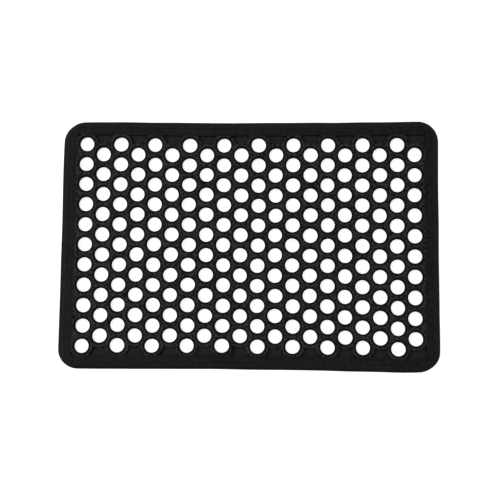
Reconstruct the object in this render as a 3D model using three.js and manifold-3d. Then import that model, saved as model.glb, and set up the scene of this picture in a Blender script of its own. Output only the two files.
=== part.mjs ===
// Perforated rubber door mat: a moulded ring panel with staggered round drain holes, edged by four
// straight bevelled strips and four rounded corner pieces, which grip a tongue round the panel.
// Units are millimetres. +X runs along the mat's length, +Y is the back edge and +Z is up.
// The origin is on the floor, under the middle of the mat.

import * as THREE from "three";
import { mergeVertices } from "three/addons/utils/BufferGeometryUtils.js";
import Module from "manifold-3d";

// Whole mat
const matLength = 600;
const matWidth = 396;
const matHeight = 10;

// Border strips
const borderWidth = 22;
const bevelWidth = 7;
const edgeHeight = 3.5; // upright part of the outer edge, below the bevel
const cornerRadius = 32;

// Ring panel
const holeDiameter = 22;
const holePitch = 32.15; // along a column
const columnPitch = 27.55;
const ringWall = 7.9; // rubber round each hole, which shows where it borders a pocket
const leastRim = 3; // least rubber between a hole and the border strips
const pocketDepth = 5; // recess between the outer rings and the front and back strips
const footHeight = 2; // drain gap under the panel
const footDiameter = 9;
const footSpacing = 3; // in holes, along the short columns

// Bonded joint between the panel and the strips
const tongueLength = 8;
const tongueThickness = 2;
const bondGap = 0.3;

// Facets
const holeSides = 9;
const ringSides = 16;
const footSides = 6;
const cornerSegments = 8;
const bevelSegments = 4;

const cutMargin = 1; // how far a cutting or joining solid runs past the face that it meets

// Sizes that follow from those above
const innerLength = matLength - 2 * borderWidth;
const innerWidth = matWidth - 2 * borderWidth;
const panelLength = innerLength - 2 * bondGap;
const panelWidth = innerWidth - 2 * bondGap;
const ringRadius = holeDiameter / 2 + ringWall;
const edgeToHole = holeDiameter / 2 + leastRim;
const holeStep = (2 * Math.PI) / holeSides;
// A faceted hole's corners lie a little outside the round hole, so that its area is the same.
const holeCornerRadius = (holeDiameter / 2) * Math.sqrt(holeStep / Math.sin(holeStep));
const columnCount = Math.floor((innerLength - 2 * edgeToHole) / columnPitch) + 1;
const rowCount = Math.floor((innerWidth - 2 * edgeToHole) / holePitch) + 1;
const outerColumnX = ((columnCount - 1) / 2) * columnPitch;
const outerRowY = ((rowCount - 1) / 2) * holePitch;
// Each corner piece holds the whole of its outer arc.
const cornerReach = Math.max(cornerRadius, borderWidth);

const rubber = new THREE.MeshStandardMaterial({ color: 0x1f1f22, roughness: 0.75, metalness: 0 });
const stripRubber = new THREE.MeshStandardMaterial({ color: 0x1c1c20, roughness: 0.65, metalness: 0 });

const wasm = await Module();
wasm.setup();

// A closed geometry as a solid that can be joined and cut.
function solid(geometry) {
  const bare = geometry.index ? geometry.toNonIndexed() : geometry.clone();
  bare.deleteAttribute("normal");
  bare.deleteAttribute("uv");
  const merged = mergeVertices(bare, 1e-4);
  const mesh = new wasm.Mesh({
    numProp: 3,
    vertProperties: merged.attributes.position.array,
    triVerts: new Uint32Array(merged.index.array),
  });
  return new wasm.Manifold(mesh);
}

// A solid as a named mesh of the scene.
function meshOf(name, body, material) {
  const data = body.getMesh();
  const geometry = new THREE.BufferGeometry();
  geometry.setAttribute("position", new THREE.BufferAttribute(data.vertProperties, data.numProp));
  geometry.setIndex(new THREE.BufferAttribute(data.triVerts, 1));
  geometry.computeVertexNormals();
  const mesh = new THREE.Mesh(geometry, material);
  mesh.name = name;
  return mesh;
}

// A rectangle round the origin, as an outline (THREE.Shape) or as a hole in one (THREE.Path).
function rectangle(Path, length, width) {
  return new Path()
    .moveTo(-length / 2, -width / 2)
    .lineTo(length / 2, -width / 2)
    .lineTo(length / 2, width / 2)
    .lineTo(-length / 2, width / 2)
    .closePath();
}

function roundedRectangle(length, width, radius) {
  const [x, y] = [length / 2 - radius, width / 2 - radius];
  const outline = new THREE.Shape();
  outline.absarc(x, -y, radius, -Math.PI / 2, 0, false);
  outline.absarc(x, y, radius, 0, Math.PI / 2, false);
  outline.absarc(-x, y, radius, Math.PI / 2, Math.PI, false);
  outline.absarc(-x, -y, radius, Math.PI, 1.5 * Math.PI, false);
  outline.closePath();
  return outline;
}

// A flat plate of the given outline between two heights.
function plate(outline, bottom, top) {
  const geometry = new THREE.ExtrudeGeometry(outline, {
    depth: top - bottom,
    bevelEnabled: false,
    curveSegments: cornerSegments,
  });
  return solid(geometry.translate(0, 0, bottom));
}

// An upright prism with a regular outline, for rings and feet.
function post(radius, sides, x, y, bottom, top) {
  const geometry = new THREE.CylinderGeometry(radius, radius, top - bottom, sides);
  geometry.rotateX(Math.PI / 2);
  return solid(geometry.translate(x, y, (bottom + top) / 2));
}

// Hole centres: even columns hold rowCount holes, and odd columns one fewer, half a pitch out of step.
function holeCentres() {
  const centres = [];
  for (let column = 0; column < columnCount; column++) {
    const holes = rowCount - (column % 2);
    for (let row = 0; row < holes; row++) {
      centres.push({
        x: column * columnPitch - outerColumnX,
        y: (row - (holes - 1) / 2) * holePitch,
        column,
        row,
        holes,
      });
    }
  }
  return centres;
}

// The perforated slab that the rings, pockets and feet are made on.
function perforatedSlab(centres) {
  const outline = rectangle(THREE.Shape, panelLength, panelWidth);
  for (const { x, y } of centres) {
    const hole = new THREE.Path();
    for (let side = 0; side <= holeSides; side++) {
      const cornerX = x + holeCornerRadius * Math.cos(side * holeStep);
      const cornerY = y - holeCornerRadius * Math.sin(side * holeStep);
      if (side === 0) hole.moveTo(cornerX, cornerY);
      else hole.lineTo(cornerX, cornerY);
    }
    outline.holes.push(hole);
  }
  return plate(outline, footHeight, matHeight);
}

// The flange round the panel's foot that the strips grip.
function tongue() {
  const reach = 2 * tongueLength;
  const outline = rectangle(THREE.Shape, panelLength + reach, panelWidth + reach);
  outline.holes.push(rectangle(THREE.Path, panelLength - 2 * cutMargin, panelWidth - 2 * cutMargin));
  return plate(outline, footHeight, footHeight + tongueThickness);
}

// The recesses left between the outermost rings and the front and back strips: a band along each,
// less the rings.
function pockets(centres) {
  const bandY = outerRowY - holePitch / 4;
  const floor = matHeight - pocketDepth;
  const whole = rectangle(THREE.Shape, panelLength + 2 * cutMargin, panelWidth + 2 * cutMargin);
  const middle = rectangle(THREE.Shape, matLength, 2 * bandY);
  let bands = plate(whole, floor, matHeight + cutMargin);
  bands = bands.subtract(plate(middle, floor - cutMargin, matHeight + 2 * cutMargin));
  for (const { x, y } of centres) {
    if (Math.abs(y) < bandY - ringRadius) continue;
    bands = bands.subtract(post(ringRadius, ringSides, x, y, floor - cutMargin, matHeight + 2 * cutMargin));
  }
  return bands;
}

// Feet stand where three rings meet, beside the short columns' holes, in step from both long edges.
function withFeet(panel, centres) {
  for (const { x, y, column, row, holes } of centres) {
    const rowFromEdge = Math.min(row, holes - 1 - row);
    if (column % 2 === 0 || rowFromEdge % footSpacing !== 0) continue;
    const footX = x - (2 / 3) * columnPitch;
    panel = panel.add(post(footDiameter / 2, footSides, footX, y, 0, footHeight + cutMargin));
  }
  return panel;
}

function ringPanel() {
  const centres = holeCentres();
  const slab = perforatedSlab(centres).subtract(pockets(centres)).add(tongue());
  return withFeet(slab, centres);
}

// The whole border before it is cut into pieces: a bevelled plate, less the panel's opening and
// the slot for its tongue.
function borderRing() {
  const geometry = new THREE.ExtrudeGeometry(roundedRectangle(matLength, matWidth, cornerRadius), {
    depth: edgeHeight,
    bevelThickness: matHeight - edgeHeight,
    bevelSize: bevelWidth,
    bevelOffset: -bevelWidth,
    bevelSegments,
    curveSegments: cornerSegments,
  });
  const slotReach = 2 * (tongueLength + bondGap);
  const slotTop = footHeight + tongueThickness + bondGap;
  const belowFloor = rectangle(THREE.Shape, 2 * matLength, 2 * matWidth);
  const opening = rectangle(THREE.Shape, innerLength, innerWidth);
  const slot = rectangle(THREE.Shape, panelLength + slotReach, panelWidth + slotReach);
  return solid(geometry)
    .subtract(plate(belowFloor, -matHeight, 0))
    .subtract(plate(opening, -cutMargin, matHeight + cutMargin))
    .subtract(plate(slot, footHeight - bondGap, slotTop));
}

// The part of the border inside an upright block, centred on (x, y), as one piece.
function borderPiece(name, border, x, y, length, width) {
  const geometry = new THREE.BoxGeometry(length, width, matHeight + 2 * cutMargin);
  geometry.translate(x, y, matHeight / 2);
  return meshOf(name, border.intersect(solid(geometry)), stripRubber);
}

// Four corner pieces, and four strips from one corner piece to the next, with a bond gap at each seam.
function borderPieces() {
  const border = borderRing();
  const stripLength = matLength - 2 * cornerReach - bondGap;
  const stripWidth = matWidth - 2 * cornerReach - bondGap;
  const stripX = (innerLength + borderWidth) / 2;
  const stripY = (innerWidth + borderWidth) / 2;
  const across = borderWidth + 2 * cutMargin;
  const block = cornerReach - bondGap / 2 + cutMargin;
  const cornerX = matLength / 2 + cutMargin - block / 2;
  const cornerY = matWidth / 2 + cutMargin - block / 2;
  const pieces = [
    borderPiece("front_strip", border, 0, -stripY, stripLength, across),
    borderPiece("right_strip", border, stripX, 0, across, stripWidth),
    borderPiece("back_strip", border, 0, stripY, stripLength, across),
    borderPiece("left_strip", border, -stripX, 0, across, stripWidth),
  ];
  for (const [endName, alongY] of [["front", -1], ["back", 1]]) {
    for (const [sideName, alongX] of [["left", -1], ["right", 1]]) {
      const name = `${endName}_${sideName}_corner`;
      pieces.push(borderPiece(name, border, alongX * cornerX, alongY * cornerY, block, block));
    }
  }
  return pieces;
}

const mat = new THREE.Group();
mat.add(meshOf("ring_panel", ringPanel(), rubber), ...borderPieces());

export default mat;
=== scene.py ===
import math

import bmesh
import bpy
from mathutils import Matrix, Vector, noise


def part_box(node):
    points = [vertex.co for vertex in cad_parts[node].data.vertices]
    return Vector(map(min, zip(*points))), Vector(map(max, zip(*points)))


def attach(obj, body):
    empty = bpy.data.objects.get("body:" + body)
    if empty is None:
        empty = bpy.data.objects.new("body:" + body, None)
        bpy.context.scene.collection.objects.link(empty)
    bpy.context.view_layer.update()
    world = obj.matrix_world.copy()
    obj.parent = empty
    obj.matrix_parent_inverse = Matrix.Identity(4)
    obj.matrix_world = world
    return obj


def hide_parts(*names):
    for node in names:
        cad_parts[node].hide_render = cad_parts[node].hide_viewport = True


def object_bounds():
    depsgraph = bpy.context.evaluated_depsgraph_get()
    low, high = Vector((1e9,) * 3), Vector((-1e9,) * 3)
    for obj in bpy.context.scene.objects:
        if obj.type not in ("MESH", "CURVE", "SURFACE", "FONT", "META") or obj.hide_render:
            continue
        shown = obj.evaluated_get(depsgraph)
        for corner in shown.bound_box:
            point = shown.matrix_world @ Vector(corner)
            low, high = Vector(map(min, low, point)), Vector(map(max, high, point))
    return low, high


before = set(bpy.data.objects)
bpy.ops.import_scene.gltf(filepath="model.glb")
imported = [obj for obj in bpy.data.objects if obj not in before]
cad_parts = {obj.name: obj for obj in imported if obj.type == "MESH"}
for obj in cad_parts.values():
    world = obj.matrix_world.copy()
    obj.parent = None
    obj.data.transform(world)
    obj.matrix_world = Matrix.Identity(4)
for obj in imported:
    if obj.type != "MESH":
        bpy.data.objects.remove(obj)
cad_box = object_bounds()

# ---------------------------------------------------------------------------------------------
# Ring panel. One compression moulding of black rubber with staggered round drain holes, each in a
# softly crowned ring. It stands on small round feet, and a tongue round its foot is held in the
# border. Recesses in the top lie between the outer rings and the front and back of the border.
# ---------------------------------------------------------------------------------------------
# Sizes in metres. +X runs along the mat's length, +Y is its back and +Z is up from the floor.
MAT_LOW, MAT_HIGH = cad_box
TOP = MAT_HIGH.z
SEAM_GAP = 0.00006  # between the panel and the border, which are pressed together
OPENING_LOW = Vector((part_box("left_strip")[1].x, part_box("front_strip")[1].y))
OPENING_HIGH = Vector((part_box("right_strip")[0].x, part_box("back_strip")[0].y))
PANEL_LOW = OPENING_LOW + Vector((SEAM_GAP, SEAM_GAP))
PANEL_HIGH = OPENING_HIGH - Vector((SEAM_GAP, SEAM_GAP))
TONGUE_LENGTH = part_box("ring_panel")[1].x - PANEL_HIGH.x

HOLE_PITCH = 0.03215  # along a column
COLUMN_PITCH = 0.02755
HOLE_RADIUS = 0.011
LEAST_RIM = 0.003  # least rubber between a hole and the border
EDGE_TO_HOLE = HOLE_RADIUS + LEAST_RIM
hole_room = OPENING_HIGH - OPENING_LOW - 2 * Vector((EDGE_TO_HOLE, EDGE_TO_HOLE))
COLUMNS = int(hole_room.x / COLUMN_PITCH) + 1
ROWS = int(hole_room.y / HOLE_PITCH) + 1

WAIST_DEPTH = 0.0032  # how far down each hole is narrowest
HOLE_FLARE = 0.0008  # how much wider each hole is at the bottom than at its waist
UNDER_EDGE = 0.0005  # chamfer round the bottom of each hole
SHOULDER_STEPS = 4
LIP_SHADE_RADIUS = 0.0131  # painted shade on the lips of the holes is full up to here, and fades out by the crest
CREST_RADIUS = 0.0150  # where each ring is highest
CREST_WIDTH = 0.001
DIMPLE_RADIUS = 0.01847  # from a hole's centre to the middle of three rings
CROWN_DROP = 0.0005  # fall from the crest to that middle
RING_RADIUS = 0.0189  # outside of a ring, where a recess lies beside it
EDGE_ROUNDING = 0.0004
POCKET_DEPTH = 0.005
POCKET_FILLET = 0.0007
POCKET_DRAFT = 0.0003
POCKETS_FROM = (ROWS - 1.5) / 2 * HOLE_PITCH  # the recesses lie further than this from the middle
FOOT_HEIGHT = 0.002
FOOT_RADIUS = 0.0045
FOOT_SIDES = 20
FOOT_TIP = 0.0006
FOOT_FILLET = 0.0008
FOOT_SINK = 0.001  # how far a foot reaches up into the panel
FOOT_SPACING = 3  # in holes, along the short columns
UNDERSIDE = FOOT_HEIGHT
TONGUE_THICKNESS = 0.002
TONGUE_TOP = UNDERSIDE + TONGUE_THICKNESS
ARC_STEPS = 3  # facets in each small rounding
NEIGHBOUR_REACH = 2.1 * HOLE_PITCH  # only holes within this can share a side with a cell
MESH_STEP = 0.0034  # spacing of the mesh's rays along a cell's sides
SAME_PLACE = 1e-5  # points along a side nearer than this are one point
ON_LIMIT = 1e-7  # how near a point on the panel's edge lies to it
WELD_DISTANCE = 2e-6

holes = []
for column in range(COLUMNS):
    in_column = ROWS - column % 2
    for row in range(in_column):
        holes.append(
            ((column - (COLUMNS - 1) / 2) * COLUMN_PITCH, (row - (in_column - 1) / 2) * HOLE_PITCH)
        )


def crown_height(r):
    """Height of the crowned rubber at distance r from the nearest hole's centre."""
    share = (min(r, DIMPLE_RADIUS) - CREST_RADIUS) / (DIMPLE_RADIUS - CREST_RADIUS)
    return TOP - CROWN_DROP * share**2


def arc(centre_r, centre_z, radius, start, end, steps):
    """Points (r, z) on an arc between two angles in degrees."""
    angles = [math.radians(start + (end - start) * i / steps) for i in range(steps + 1)]
    return [(centre_r + radius * math.cos(a), centre_z + radius * math.sin(a)) for a in angles]


# Stations (r, z) from the bottom of a hole's side, up over its shoulder and out over the ring.
hole_side = [
    (HOLE_RADIUS + HOLE_FLARE + UNDER_EDGE, UNDERSIDE),
    (HOLE_RADIUS + HOLE_FLARE, UNDERSIDE + UNDER_EDGE),
]
for i in range(SHOULDER_STEPS):
    turn = math.pi / 2 * i / SHOULDER_STEPS
    hole_side.append(
        (
            HOLE_RADIUS + (CREST_RADIUS - HOLE_RADIUS) * (1 - math.cos(turn)),
            TOP - WAIST_DEPTH * (1 - math.sin(turn)),
        )
    )
crest = [(r, crown_height(r)) for r in (CREST_RADIUS, CREST_RADIUS + CREST_WIDTH)]
dimple = [(DIMPLE_RADIUS, crown_height(DIMPLE_RADIUS))]
pocket_floor = TOP - POCKET_DEPTH
shoulder_height = crown_height(RING_RADIUS - EDGE_ROUNDING)
wall_foot = RING_RADIUS + POCKET_DRAFT
rounded_edge = arc(
    RING_RADIUS - EDGE_ROUNDING, shoulder_height - EDGE_ROUNDING, EDGE_ROUNDING, 90, 0, ARC_STEPS
)
fillet = arc(
    wall_foot + POCKET_FILLET, pocket_floor + POCKET_FILLET, POCKET_FILLET, 180, 270, ARC_STEPS
)
pocket_wall = rounded_edge + fillet


def height_at(r, in_pocket):
    """Height of the panel's top at distance r from the nearest hole's centre."""
    if r <= pocket_wall[0][0] or not in_pocket:
        return crown_height(r)
    for (r0, z0), (r1, z1) in zip(pocket_wall, pocket_wall[1:]):
        if r <= r1:
            return z0 + (z1 - z0) * (r - r0) / max(r1 - r0, ON_LIMIT)
    return pocket_floor


# Each hole owns the part of the panel that is nearer to it than to any other hole. That cell is
# meshed in rays from the hole, so rings, dimples and recesses all follow from the distance to it.
def clipped(outline, nx, ny, limit):
    """The part of a convex outline where nx * x + ny * y is at most limit."""
    kept = []
    for (ax, ay), (bx, by) in zip(outline, outline[1:] + outline[:1]):
        a_over = nx * ax + ny * ay - limit
        b_over = nx * bx + ny * by - limit
        if a_over <= 0:
            kept.append((ax, ay))
        if a_over * b_over < 0:
            share = a_over / (a_over - b_over)
            kept.append((ax + (bx - ax) * share, ay + (by - ay) * share))
    return kept


def cell_corners(x, y):
    """Corners of the part of the panel that is nearest to the hole at (x, y), measured from it."""
    outline = [
        (PANEL_LOW.x - x, PANEL_LOW.y - y),
        (PANEL_HIGH.x - x, PANEL_LOW.y - y),
        (PANEL_HIGH.x - x, PANEL_HIGH.y - y),
        (PANEL_LOW.x - x, PANEL_HIGH.y - y),
    ]
    for other_x, other_y in holes:
        gap = math.hypot(other_x - x, other_y - y)
        if 0 < gap < NEIGHBOUR_REACH:
            outline = clipped(outline, (other_x - x) / gap, (other_y - y) / gap, gap / 2)
    return outline


def side_points(start, end):
    """Points along one side of a cell: even steps, and the places where pocket walls cross it."""
    length = (end - start).length
    along = (end - start) / length
    nearest = -start.dot(along)
    offset = (start + along * nearest).length
    steps = max(1, round(length / MESH_STEP))
    places = [length * i / steps for i in range(steps)]
    for r, _ in pocket_wall:
        if r > offset:
            half_chord = math.sqrt(r * r - offset * offset)
            places += [p for p in (nearest - half_chord, nearest + half_chord) if 0 < p < length]
    points = []
    for place in sorted(places):
        if not points or place - points[-1] > SAME_PLACE:
            points.append(place)
    if len(points) > 1 and length - points[-1] < SAME_PLACE:
        points.pop()
    return [start + along * place for place in points]


def cell_outline(x, y):
    """All the points of a cell's outline that the mesh's rays go to."""
    corners = [Vector(corner) for corner in cell_corners(x, y)]
    points = []
    for start, end in zip(corners, corners[1:] + corners[:1]):
        if (end - start).length > SAME_PLACE:
            points += side_points(start, end)
    return points


def bridge(bm, first, second):
    """Faces between two rows of vertices, where one row may be longer at its end."""
    shared = min(len(first), len(second))
    for k in range(shared - 1):
        corners = [first[k], first[k + 1], second[k + 1], second[k]]
        corners = [v for i, v in enumerate(corners) if v is not corners[i - 1]]
        if len(corners) > 2:
            bm.faces.new(corners)
    for k in range(shared - 1, len(second) - 1):
        bm.faces.new((first[-1], second[k + 1], second[k]))
    for k in range(shared - 1, len(first) - 1):
        bm.faces.new((first[k], first[k + 1], second[-1]))


def beyond(value, low, high, distance):
    """value, moved outwards by distance if it lies on either limit."""
    if abs(value - high) < ON_LIMIT:
        return value + distance
    if abs(value - low) < ON_LIMIT:
        return value - distance
    return value


def tongue_rows(bm, x, y):
    """The panel's edge at (x, y) from its top down over the tongue."""
    out_x = beyond(x, PANEL_LOW.x, PANEL_HIGH.x, TONGUE_LENGTH)
    out_y = beyond(y, PANEL_LOW.y, PANEL_HIGH.y, TONGUE_LENGTH)
    corners = ((x, y, TONGUE_TOP), (out_x, out_y, TONGUE_TOP), (out_x, out_y, UNDERSIDE))
    return [bm.verts.new(corner) for corner in corners]


def on_panel_edge(x, y):
    """True if (x, y) lies on the straight edge of the panel."""
    along_x = min(abs(x - PANEL_LOW.x), abs(x - PANEL_HIGH.x)) < ON_LIMIT
    along_y = min(abs(y - PANEL_LOW.y), abs(y - PANEL_HIGH.y)) < ON_LIMIT
    return along_x or along_y


def add_cell(bm, x, y):
    """One hole, with its ring, its share of the recesses and the underside."""
    lip_shade = bm.verts.layers.float["lip_shade"]
    rows = []
    for point in cell_outline(x, y):
        far = point.length
        ux, uy = point / far
        in_pocket = abs(y + point.y) > POCKETS_FROM
        stations = hole_side + crest + (pocket_wall if in_pocket else dimple)
        on_ray = [(r, z) for r, z in stations if r < far - ON_LIMIT]
        on_ray.append((far, height_at(far, in_pocket)))
        top = [bm.verts.new((x + r * ux, y + r * uy, z)) for r, z in on_ray]
        # Each vertex gets a weight of painted shade on the lips of the holes: full down the hole's side
        # and over its shoulder, fading out by the crest.
        for vertex, (r, _) in zip(top, on_ray):
            vertex[lip_shade] = min(1.0, max(0.0, (CREST_RADIUS - r) / (CREST_RADIUS - LIP_SHADE_RADIUS)))
        edge_x, edge_y = x + point.x, y + point.y
        side = [bm.verts.new((edge_x, edge_y, UNDERSIDE))]
        if on_panel_edge(edge_x, edge_y):
            side = [top[-1]] + tongue_rows(bm, edge_x, edge_y) + side
        rows.append((top, side))
    for (top, side), (next_top, next_side) in zip(rows, rows[1:] + rows[:1]):
        bridge(bm, top, next_top)
        bm.faces.new((top[0], next_top[0], next_side[-1], side[-1]))
        middle = (side[-1].co + next_side[-1].co) / 2
        if on_panel_edge(middle.x, middle.y):
            bridge(bm, side, next_side)


def add_foot(bm, x, y):
    """A round drain foot with a rounded tip, sunk a little way into the underside."""
    outline = [(FOOT_RADIUS + FOOT_FILLET, z) for z in (UNDERSIDE + FOOT_SINK, UNDERSIDE)]
    outline += [(FOOT_RADIUS + FOOT_FILLET / 4, UNDERSIDE - FOOT_FILLET / 2)]
    outline += arc(FOOT_RADIUS - FOOT_TIP, FOOT_TIP, FOOT_TIP, 0, -90, ARC_STEPS)
    rings = []
    for r, z in outline:
        angles = [2 * math.pi * i / FOOT_SIDES for i in range(FOOT_SIDES)]
        rings.append([bm.verts.new((x + r * math.cos(a), y + r * math.sin(a), z)) for a in angles])
    for ring, next_ring in zip(rings, rings[1:]):
        bridge(bm, ring + ring[:1], next_ring + next_ring[:1])
    bm.faces.new(rings[0])
    bm.faces.new(rings[-1])


panel_mesh = bmesh.new()
panel_mesh.verts.layers.float.new("lip_shade")
for hole_x, hole_y in holes:
    add_cell(panel_mesh, hole_x, hole_y)
bmesh.ops.remove_doubles(panel_mesh, verts=panel_mesh.verts, dist=WELD_DISTANCE)
for column in range(1, COLUMNS, 2):
    for row in range(ROWS - 1):
        if min(row, ROWS - 2 - row) % FOOT_SPACING == 0:
            # A foot stands where three rings meet, two thirds of a pitch left of its hole.
            foot_x = (column - (COLUMNS - 1) / 2 - 2 / 3) * COLUMN_PITCH
            add_foot(panel_mesh, foot_x, (row - (ROWS - 2) / 2) * HOLE_PITCH)


def add_socket(tree, name, direction, kind="NodeSocketFloat", value=None):
    """A named input or output of a shader node group."""
    socket = tree.interface.new_socket(name=name, in_out=direction, socket_type=kind)
    if value is not None:
        socket.default_value = value


def rubber_surface_group():
    """Grain, mottling, grey bloom, scuffs, wear with a painted highlight at one height, recesses, and a
    level-face mask for painted shade on walls, for both rubbers.
    """
    tree = bpy.data.node_groups.new("rubber_surface", "ShaderNodeTree")
    add_socket(tree, "Grain size", "INPUT", value=0.0008)
    add_socket(tree, "Grain depth", "INPUT", value=0.25)
    add_socket(tree, "Mottle size", "INPUT", value=0.006)
    add_socket(tree, "Worn height", "INPUT", value=0.01)
    add_socket(tree, "Worn depth", "INPUT", value=0.0005)
    add_socket(tree, "Mottle", "OUTPUT")
    add_socket(tree, "Bloom", "OUTPUT")
    add_socket(tree, "Scuffs", "OUTPUT")
    add_socket(tree, "Wear and highlight", "OUTPUT")
    add_socket(tree, "Recessed", "OUTPUT")
    add_socket(tree, "Level", "OUTPUT")
    add_socket(tree, "Normal", "OUTPUT", "NodeSocketVector")
    nodes, links = tree.nodes, tree.links
    inputs = nodes.new("NodeGroupInput").outputs
    outputs = nodes.new("NodeGroupOutput").inputs
    where = nodes.new("ShaderNodeTexCoord").outputs["Object"]

    def calculated(operation, first, second=None):
        node = nodes.new("ShaderNodeMath")
        node.operation = operation
        for socket, value in zip(node.inputs, (first, second)):
            if isinstance(value, float):
                socket.default_value = value
            elif value is not None:
                links.new(value, socket)
        return node.outputs[0]

    def height_of(vector):
        node = nodes.new("ShaderNodeSeparateXYZ")
        links.new(vector, node.inputs[0])
        return node.outputs["Z"]

    def clouds(scale, detail, roughness, vector=where):
        node = nodes.new("ShaderNodeTexNoise")
        node.inputs["Detail"].default_value = detail
        node.inputs["Roughness"].default_value = roughness
        links.new(vector, node.inputs["Vector"])
        if isinstance(scale, float):
            node.inputs["Scale"].default_value = scale
        else:
            links.new(scale, node.inputs["Scale"])
        return node.outputs["Fac"]

    def spread(socket, low, high):
        node = nodes.new("ShaderNodeMapRange")
        node.interpolation_type = "SMOOTHSTEP"
        node.inputs["From Min"].default_value = low
        node.inputs["From Max"].default_value = high
        links.new(socket, node.inputs["Value"])
        return node.outputs["Result"]

    mottle_scale = calculated("DIVIDE", 1.0, inputs["Mottle size"])
    grain_scale = calculated("DIVIDE", 1.0, inputs["Grain size"])
    mottle = clouds(mottle_scale, detail=3.0, roughness=0.55)
    bloom = clouds(14.0, detail=4.0, roughness=0.55)
    links.new(spread(mottle, 0.41, 0.59), outputs["Mottle"])
    links.new(spread(bloom, 0.38, 0.66), outputs["Bloom"])

    scuff_direction = nodes.new("ShaderNodeMapping")
    scuff_direction.inputs["Rotation"].default_value = (0.0, 0.0, 0.5)
    scuff_direction.inputs["Scale"].default_value = (900.0, 90.0, 300.0)
    links.new(where, scuff_direction.inputs["Vector"])
    scuffs = clouds(1.0, detail=3.0, roughness=0.5, vector=scuff_direction.outputs["Vector"])
    links.new(spread(scuffs, 0.62, 0.78), outputs["Scuffs"])

    below = calculated("SUBTRACT", height_of(where), inputs["Worn height"])
    # A band at one height, for the rubber's wear there and a painted highlight on the crests and
    # shoulders.
    depth_share = calculated("DIVIDE", calculated("ABSOLUTE", below), inputs["Worn depth"])
    links.new(spread(depth_share, 1.0, 0.0), outputs["Wear and highlight"])
    links.new(spread(below, -0.002, -0.004), outputs["Recessed"])
    # Level faces get 1 and steep faces 0; the material paints shade on the steep faces, as light falls
    # less on them.
    upright = calculated("ABSOLUTE", height_of(nodes.new("ShaderNodeNewGeometry").outputs["Normal"]))
    links.new(spread(upright, 0.6, 1.0), outputs["Level"])

    pits = nodes.new("ShaderNodeTexVoronoi")
    links.new(where, pits.inputs["Vector"])
    links.new(grain_scale, pits.inputs["Scale"])
    fine_grain = clouds(grain_scale, detail=5.0, roughness=0.6)
    height = calculated("ADD", pits.outputs["Distance"], fine_grain)
    bump = nodes.new("ShaderNodeBump")
    bump.inputs["Distance"].default_value = 0.0004
    links.new(inputs["Grain depth"], bump.inputs["Strength"])
    links.new(height, bump.inputs["Height"])
    links.new(bump.outputs["Normal"], outputs["Normal"])
    return tree


rubber_surface = rubber_surface_group()


def rubber(name, tones, blueness, bloom_share, wear_and_highlight_share, recess_share, roughness, **surface_values):
    """Rubber between two near blacks, greyed by bloom, and by wear that also paints a highlight, with
    painted shade on walls and lips.
    """
    material = bpy.data.materials.new(name)
    material.use_nodes = True
    nodes, links = material.node_tree.nodes, material.node_tree.links
    shader = nodes["Principled BSDF"]
    surface = nodes.new("ShaderNodeGroup")
    surface.node_tree = rubber_surface
    for socket_name, value in surface_values.items():
        surface.inputs[socket_name.replace("_", " ").capitalize()].default_value = value

    def blend_colours(factor, first, second):
        node = nodes.new("ShaderNodeMix")
        node.data_type = "RGBA"
        links.new(factor, node.inputs["Factor"])
        for socket, value in ((node.inputs["A"], first), (node.inputs["B"], second)):
            if isinstance(value, tuple):
                socket.default_value = (*value, 1.0)
            else:
                links.new(value, socket)
        return node.outputs["Result"]

    def scaled(socket, factor, offset=0.0):
        node = nodes.new("ShaderNodeMath")
        node.operation = "MULTIPLY_ADD"
        node.inputs[1].default_value = factor
        node.inputs[2].default_value = offset
        links.new(socket, node.inputs[0])
        return node.outputs[0]

    tone = {name: (grey, grey, blueness * grey) for name, grey in tones.items()}
    # This attribute carries the weight of painted shade on the lips of the holes and on the border's
    # outer edge.
    lip_shade = nodes.new("ShaderNodeAttribute")
    lip_shade.attribute_name = "lip_shade"
    base = blend_colours(surface.outputs["Mottle"], tone["dark"], tone["light"])
    bloomed = blend_colours(scaled(surface.outputs["Bloom"], bloom_share), base, tone["bloom"])
    scuffed = blend_colours(scaled(surface.outputs["Scuffs"], 0.35), bloomed, tone["bloom"])
    # That band is lightened, partly as wear and partly as a painted highlight.
    worn = blend_colours(scaled(surface.outputs["Wear and highlight"], wear_and_highlight_share), scuffed, tone["worn"])
    smoothed = blend_colours(scaled(surface.outputs["Recessed"], recess_share), worn, tone["recess"])
    # Painted shade on steep walls, from how light falls on them.
    with_wall_shade = blend_colours(surface.outputs["Level"], tone["wall_shade"], smoothed)
    # Painted shade on the lips of the holes and on the border's outer edge.
    with_lip_shade = blend_colours(lip_shade.outputs["Fac"], with_wall_shade, tone["lip_shade"])
    links.new(with_lip_shade, shader.inputs["Base Color"])
    links.new(scaled(surface.outputs["Mottle"], 0.14, roughness - 0.07), shader.inputs["Roughness"])
    links.new(surface.outputs["Normal"], shader.inputs["Normal"])
    shader.inputs["Specular IOR Level"].default_value = 0.1
    return material


panel_rubber = rubber(
    "panel_rubber",
    # Tones for painted shade on walls and lips, and for wear with a painted highlight on the crests.
    tones=dict(dark=0.0005, light=0.049, bloom=0.043, worn=0.041, recess=0.028, wall_shade=0.003, lip_shade=0.0030),
    blueness=1.06,
    bloom_share=0.2,
    wear_and_highlight_share=0.15,
    recess_share=0.8,
    roughness=0.66,
    grain_size=0.0011,
    grain_depth=0.35,
    mottle_size=0.0028,
    worn_height=TOP,
    worn_depth=0.00045,
)


# The limp mat never lies quite true: its sides bow, its corners draw in, and it wavers a little.
WAVER = 0.0012  # farthest that the waver moves a point
WAVES_PER_METRE = 19.0
CREASE_ANGLE = math.radians(35)  # sharper edges than this stay crisp


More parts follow.
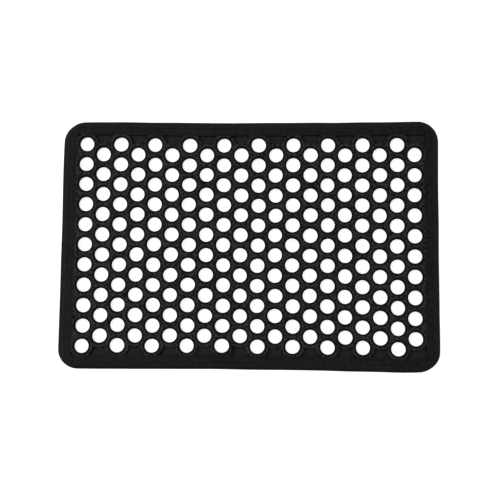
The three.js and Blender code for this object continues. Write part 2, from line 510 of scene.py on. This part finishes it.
def laid_down(x, y):
    """Where the point (x, y) of a true mat lies on the floor."""
    u, v = x / MAT_HIGH.x, y / MAT_HIGH.y
    corner_pull = (0.0033 - 0.0019 * u * v) * abs(u * v) ** 11
    drawn_x = u * (0.0012 * v**2 - 0.0001 - corner_pull)
    drawn_y = v * (0.0030 * u**2 + 0.0010 * u - 0.0007 - corner_pull) + 0.0013 * v**4
    loose = 1 - 0.6 * max(abs(u), abs(v)) ** 8
    wave_x, wave_y = WAVES_PER_METRE * x, WAVES_PER_METRE * y
    waver_x, waver_y = (noise.noise(Vector((wave_x, wave_y, layer))) for layer in (0.4, 7.4))
    return x + drawn_x + WAVER * loose * waver_x, y + drawn_y + WAVER * loose * waver_y


def rubber_piece(node, material, bm):
    """The finished moulding, laid down with the rest of the mat, in place of its solid."""
    for vertex in bm.verts:
        vertex.co.x, vertex.co.y = laid_down(vertex.co.x, vertex.co.y)
    bmesh.ops.recalc_face_normals(bm, faces=bm.faces)
    mesh = bpy.data.meshes.new(f"rubber_{node}")
    bm.to_mesh(mesh)
    bm.free()
    mesh.shade_smooth()
    mesh.set_sharp_from_angle(angle=CREASE_ANGLE)
    mesh.materials.append(material)
    piece = bpy.data.objects.new(f"rubber_{node}", mesh)
    bpy.context.scene.collection.objects.link(piece)
    shading = piece.modifiers.new("even_shading", "WEIGHTED_NORMAL")
    shading.keep_sharp = True
    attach(piece, "root")
    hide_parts(node)


rubber_piece("ring_panel", panel_rubber, panel_mesh)

# ---------------------------------------------------------------------------------------------
# Border strips. Four straight mouldings of denser black rubber, one along each side of the panel
# and bonded to it. Each has an upright lip, a ramp for shoes and wheels, a flat land with two fine
# lines in it, and a slot that grips the panel's tongue.
# ---------------------------------------------------------------------------------------------
BOND_GAP = 0.0003
BORDER_WIDTH = MAT_HIGH.x - OPENING_HIGH.x
CORNER_RADIUS = MAT_HIGH.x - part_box("front_strip")[1].x - BOND_GAP / 2
LINE_WIDTH = 0.0009
LINE_DEPTH = 0.00025
OUTER_LINE_INSET = 0.011
INNER_LINE_INSET = 0.0032  # from the inner edge
FLOOR_ROUNDING = 0.0004
INNER_ROUNDING = 0.0002
SLOT_LOW = UNDERSIDE - BOND_GAP
SLOT_HIGH = TONGUE_TOP + BOND_GAP
EDGE_SHADE_FULL = 0.0022  # painted shade darkens the outer edge fully up to here, and fades out by the next inset
EDGE_SHADE_FADED = 0.0046
STRIP_STEP = 0.006  # between the sections of a strip's mesh

border_rubber = rubber(
    "border_rubber",
    # Tones for painted shade on walls and on the outer edge, and for wear with a painted highlight
    # along the ramp's shoulder.
    tones=dict(dark=0.010, light=0.018, bloom=0.023, worn=0.032, recess=0.01, wall_shade=0.0005, lip_shade=0.0002),
    blueness=1.15,
    bloom_share=0.2,
    wear_and_highlight_share=0.3,
    recess_share=0.0,
    roughness=0.62,
    grain_size=0.0008,
    grain_depth=0.2,
    mottle_size=0.006,
    worn_height=TOP - 0.0003,
    worn_depth=0.00028,
)


# Insets from the outer edge and heights, up the upright lip, over its rounded top and up the ramp.
RAMP_PROFILE = [
    (0.0, 0.0016),
    (0.0, 0.0030),
    (0.0003, 0.0039),
    (0.0010, 0.0048),
    (0.0022, 0.0059),
    (0.0040, 0.0075),
    (0.0058, 0.0086),
    (0.0074, 0.0094),
    (0.0082, 0.0098),
    (0.0091, TOP),
]
SLOT_MOUTH_TOP = 0.0065  # where the inner face is divided, above the slot


def fine_line(inset):
    """A shallow groove in the land, at that distance in from the outer edge."""
    half = LINE_WIDTH / 2
    return [(inset - half, TOP), (inset - half / 3, TOP - LINE_DEPTH)] + [
        (inset + half / 3, TOP - LINE_DEPTH),
        (inset + half, TOP),
    ]


def border_section(width, skew):
    """The closed outline as (inset from the outer edge, height), anticlockwise from the foot of the
    upright outer face.

    A section that crosses the inner edge at a slant is skew times as long there."""
    slot_end = width - (TONGUE_LENGTH + BOND_GAP) * skew
    rounding = FLOOR_ROUNDING
    outline = arc(rounding, rounding, rounding, 270, 180, ARC_STEPS)
    outline += RAMP_PROFILE + fine_line(OUTER_LINE_INSET) + fine_line(width - INNER_LINE_INSET)
    outline += arc(width - INNER_ROUNDING, TOP - INNER_ROUNDING, INNER_ROUNDING, 90, 0, ARC_STEPS)
    outline += [(width, SLOT_MOUTH_TOP), (width, SLOT_HIGH), (slot_end, SLOT_HIGH)]
    outline += [(slot_end, SLOT_LOW), (width, SLOT_LOW)]
    outline += arc(width - rounding, rounding, rounding, 0, -90, 2)
    outline += [(width * share, 0.0) for share in (0.7, 0.35)]
    return outline


def sweep(sections):
    """A closed solid through a row of sections, each a list of points in space."""
    bm = bmesh.new()
    lip_shade = bm.verts.layers.float.new("lip_shade")
    rows = []
    for section in sections:
        rows.append([bm.verts.new(point) for point in section])
        # Each vertex gets a weight of painted shade on the border's outer edge, full on the upright
        # face and the foot of the ramp.
        for vertex, (inset, _) in zip(rows[-1], border_section(BORDER_WIDTH, 1.0)):
            vertex[lip_shade] = min(1.0, max(0.0, (EDGE_SHADE_FADED - inset) / (EDGE_SHADE_FADED - EDGE_SHADE_FULL)))
    for row, next_row in zip(rows, rows[1:]):
        bridge(bm, row + row[:1], next_row + next_row[:1])
    bm.faces.new(rows[0])
    bm.faces.new(rows[-1])
    bmesh.ops.remove_doubles(bm, verts=bm.verts, dist=WELD_DISTANCE)
    return bm


def strip_sections(start, end, inward):
    """Sections along a straight strip from start to end, whose outer edge that line is."""
    steps = max(2, round((end - start).length / STRIP_STEP))
    outline = border_section(BORDER_WIDTH, 1.0)
    sections = []
    for i in range(steps + 1):
        base = start.lerp(end, i / steps)
        sections.append([(base.x + inward.x * d, base.y + inward.y * d, z) for d, z in outline])
    return sections


left, front = MAT_LOW.x + CORNER_RADIUS, MAT_LOW.y + CORNER_RADIUS
right, back = MAT_HIGH.x - CORNER_RADIUS, MAT_HIGH.y - CORNER_RADIUS
strips = {
    "front_strip": ((left, MAT_LOW.y), (right, MAT_LOW.y), (0, 1)),
    "right_strip": ((MAT_HIGH.x, front), (MAT_HIGH.x, back), (-1, 0)),
    "back_strip": ((right, MAT_HIGH.y), (left, MAT_HIGH.y), (0, -1)),
    "left_strip": ((MAT_LOW.x, back), (MAT_LOW.x, front), (1, 0)),
}
for node, (start, end, inward) in strips.items():
    bm = sweep(strip_sections(Vector(start), Vector(end), Vector(inward)))
    rubber_piece(node, border_rubber, bm)

# ---------------------------------------------------------------------------------------------
# Corner pieces. Four moulded quarter turns of the same rubber and section as the strips, bonded to
# their ends. The outer edge is one round sweep, and the inner edge is square round the panel.
# ---------------------------------------------------------------------------------------------
CORNER_STEPS = 24


def corner_sections(centre, first_angle):
    """Sections turned a quarter round the outer arc's centre, with a square corner inside."""
    sections = []
    for i in range(CORNER_STEPS + 1):
        turn = math.pi / 2 * i / CORNER_STEPS
        skew = 1 / max(math.cos(turn), math.sin(turn))
        width = CORNER_RADIUS - (CORNER_RADIUS - BORDER_WIDTH) * skew
        angle = math.radians(first_angle) + turn
        ux, uy = math.cos(angle), math.sin(angle)
        radii = [(CORNER_RADIUS - inset, z) for inset, z in border_section(width, skew)]
        sections.append([(centre[0] + r * ux, centre[1] + r * uy, z) for r, z in radii])
    return sections


corners = {
    "front_left_corner": ((left, front), 180),
    "front_right_corner": ((right, front), 270),
    "back_right_corner": ((right, back), 0),
    "back_left_corner": ((left, back), 90),
}
for node, (centre, first_angle) in corners.items():
    bm = sweep(corner_sections(centre, first_angle))
    rubber_piece(node, border_rubber, bm)

# ---------------------------------------------------------------------------------------------
# Floor. A matt white floor that glows a little, so that it reads white through every hole. It is
# clear to the camera from below, so that the mat's underside can be seen.
# ---------------------------------------------------------------------------------------------
FLOOR_HALF = 6.0

floor_paint = bpy.data.materials.new("floor_paint")
floor_paint.use_nodes = True
floor_nodes, floor_links = floor_paint.node_tree.nodes, floor_paint.node_tree.links
floor_shader = floor_nodes["Principled BSDF"]
floor_shader.inputs["Base Color"].default_value = (0.9, 0.9, 0.9, 1.0)
floor_shader.inputs["Roughness"].default_value = 0.9
floor_shader.inputs["Specular IOR Level"].default_value = 0.1
floor_shader.inputs["Emission Color"].default_value = (1.0, 1.0, 1.0, 1.0)
floor_shader.inputs["Emission Strength"].default_value = 0.8
from_below = floor_nodes.new("ShaderNodeMath")
from_below.operation = "MULTIPLY"
floor_links.new(floor_nodes.new("ShaderNodeNewGeometry").outputs["Backfacing"], from_below.inputs[0])
floor_links.new(floor_nodes.new("ShaderNodeLightPath").outputs["Is Camera Ray"], from_below.inputs[1])
floor_or_clear = floor_nodes.new("ShaderNodeMixShader")
floor_links.new(from_below.outputs[0], floor_or_clear.inputs[0])
floor_links.new(floor_shader.outputs[0], floor_or_clear.inputs[1])
floor_links.new(floor_nodes.new("ShaderNodeBsdfTransparent").outputs[0], floor_or_clear.inputs[2])
floor_links.new(floor_or_clear.outputs[0], floor_nodes["Material Output"].inputs["Surface"])

floor_mesh = bpy.data.meshes.new("floor")
quarters = ((-1, -1), (1, -1), (1, 1), (-1, 1))
floor_corners = [(sx * FLOOR_HALF, sy * FLOOR_HALF, 0.0) for sx, sy in quarters]
floor_mesh.from_pydata(floor_corners, [], [(0, 1, 2, 3)])
floor_mesh.materials.append(floor_paint)
floor = bpy.data.objects.new("floor", floor_mesh)
bpy.context.scene.collection.objects.link(floor)


# ---------------------------------------------------------------------------------------------
# Studio light. Soft square lamps high round the mat, strongest at the left, and weaker ones low
# round it for a sheen on the rubber from the sides. The camera sees a white backdrop all round.
# ---------------------------------------------------------------------------------------------
def soft_lamp(name, azimuth, elevation, distance, size, power):
    """A square soft lamp that faces the mat. Azimuth 0 is at the front, and 90 at the right."""
    light = bpy.data.lights.new(name, "AREA")
    light.shape = "SQUARE"
    light.size = size
    light.energy = power
    lamp = bpy.data.objects.new(name, light)
    a, e = math.radians(azimuth), math.radians(elevation)
    away = Vector((math.sin(a) * math.cos(e), -math.cos(a) * math.cos(e), math.sin(e)))
    lamp.location = away * distance
    lamp.rotation_mode = "QUATERNION"
    lamp.rotation_quaternion = away.to_track_quat("Z", "Y")
    lamp.visible_camera = False
    bpy.context.scene.collection.objects.link(lamp)


soft_lamp("left_lamp", azimuth=275, elevation=50, distance=2.0, size=1.1, power=9.8)
soft_lamp("back_lamp", azimuth=218, elevation=58, distance=2.4, size=1.1, power=6.4)
soft_lamp("right_lamp", azimuth=100, elevation=50, distance=3.0, size=1.6, power=5.6)
soft_lamp("front_lamp", azimuth=15, elevation=50, distance=3.0, size=1.6, power=4.8)
soft_lamp("low_back_lamp", azimuth=175, elevation=20, distance=2.6, size=1.4, power=7)
soft_lamp("low_right_lamp", azimuth=95, elevation=20, distance=2.6, size=1.4, power=8)
soft_lamp("low_front_lamp", azimuth=5, elevation=20, distance=2.6, size=1.4, power=8)
soft_lamp("low_left_lamp", azimuth=275, elevation=20, distance=2.6, size=1.4, power=8)

studio = bpy.data.worlds.new("studio")
studio.use_nodes = True
studio_nodes, studio_links = studio.node_tree.nodes, studio.node_tree.links
glow = studio_nodes["Background"]
glow.inputs["Color"].default_value = (1.0, 1.0, 1.0, 1.0)
glow.inputs["Strength"].default_value = 0.1
backdrop = studio_nodes.new("ShaderNodeBackground")
backdrop.inputs["Color"].default_value = (1.0, 1.0, 1.0, 1.0)
glow_or_backdrop = studio_nodes.new("ShaderNodeMixShader")
seen_by_camera = studio_nodes.new("ShaderNodeLightPath").outputs["Is Camera Ray"]
studio_links.new(seen_by_camera, glow_or_backdrop.inputs[0])
studio_links.new(glow.outputs[0], glow_or_backdrop.inputs[1])
studio_links.new(backdrop.outputs[0], glow_or_backdrop.inputs[2])
studio_links.new(glow_or_backdrop.outputs[0], studio_nodes["World Output"].inputs["Surface"])
bpy.context.scene.world = studio
bpy.context.scene.view_settings.view_transform = "Standard"
bpy.context.scene.view_settings.exposure = 0.0

# ---------------------------------------------------------------------------------------------
# Camera. It hangs high over the mat and leans a few degrees from the front, with the mat turned a
# hair clockwise under it and a little above the picture's middle.
# ---------------------------------------------------------------------------------------------
LENS_MM = 72.0
SENSOR_MM = 36.0
CAMERA_DISTANCE = 1.585
LEAN = math.radians(-6.19)
SIDE_LEAN = math.radians(-1.5)
ROLL = math.radians(-0.54)
RIGHT_OFFSET, UP_OFFSET = -0.0013, 0.0076

leaned = Matrix.Rotation(LEAN, 3, "X") @ Matrix.Rotation(SIDE_LEAN, 3, "Y")
to_world = (leaned @ Matrix.Rotation(ROLL, 3, "Z")).transposed()
aim = Vector((0, 0, TOP - WAIST_DEPTH))
position = to_world @ Vector((-RIGHT_OFFSET, -UP_OFFSET, CAMERA_DISTANCE)) + aim
camera_data = bpy.data.cameras.new("camera")
camera_data.lens = LENS_MM
camera_data.sensor_width = SENSOR_MM
camera = bpy.data.objects.new("camera", camera_data)
camera.matrix_world = Matrix.Translation(position) @ to_world.to_4x4()
bpy.context.scene.collection.objects.link(camera)
bpy.context.scene.camera = camera
